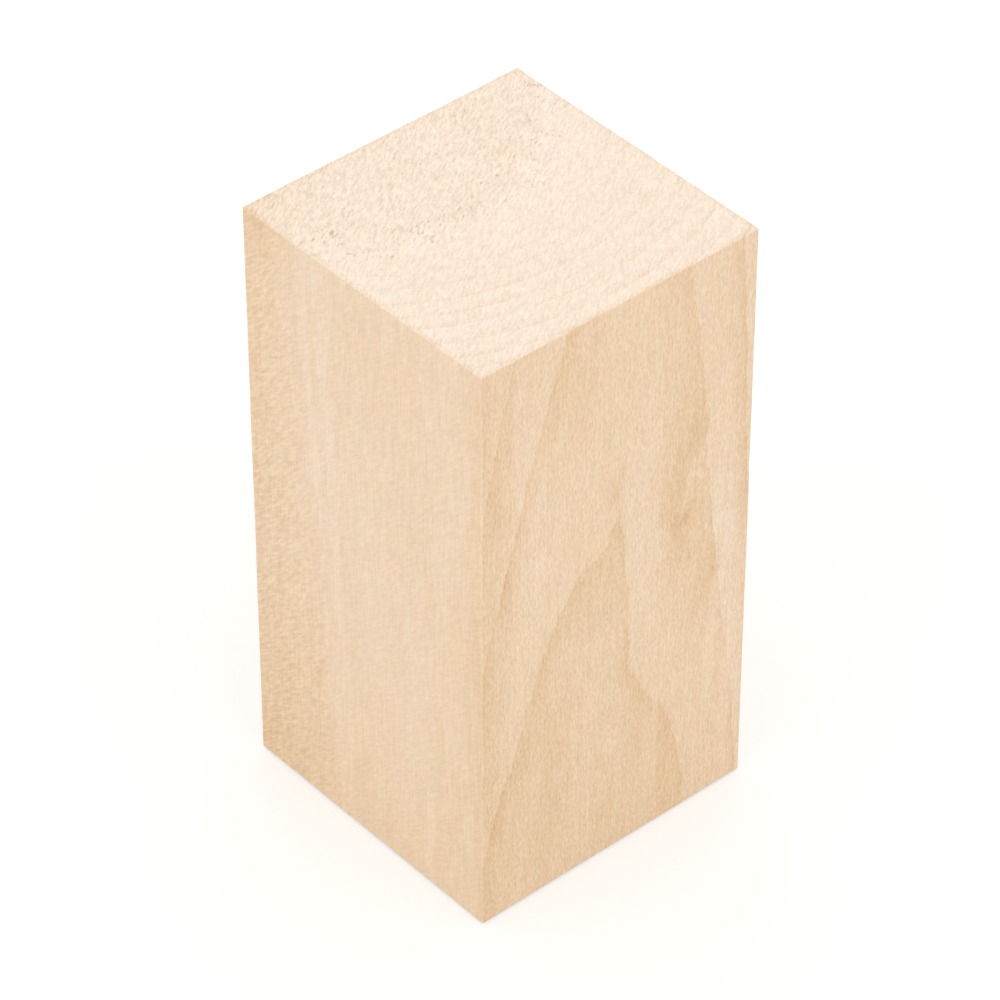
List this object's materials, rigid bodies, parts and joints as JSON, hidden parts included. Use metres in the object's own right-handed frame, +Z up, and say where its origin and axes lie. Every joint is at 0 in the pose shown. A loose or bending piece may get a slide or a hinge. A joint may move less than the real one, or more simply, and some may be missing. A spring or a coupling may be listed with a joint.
{
  "type": "basswood carving block",
  "caption": "Solid square-section block of pale basswood, grain running its length, sawn across at both ends, for whittling and carving.",
  "frame": {"origin": "centre of the lower sawn end, the one the block stands on", "axes": "+Z up along the grain and the block's length, -Y out of the flat-sawn front side, -X out of the quarter-sawn left side"},
  "size_m": [0.0508, 0.0508, 0.1016],
  "materials": {
    "basswood": "planed and sawn basswood, bare, matt and creamy, with faint growth rings"
  },
  "bodies": {
    "root": {"carving_block": "basswood"}
  },
  "joints": []
}
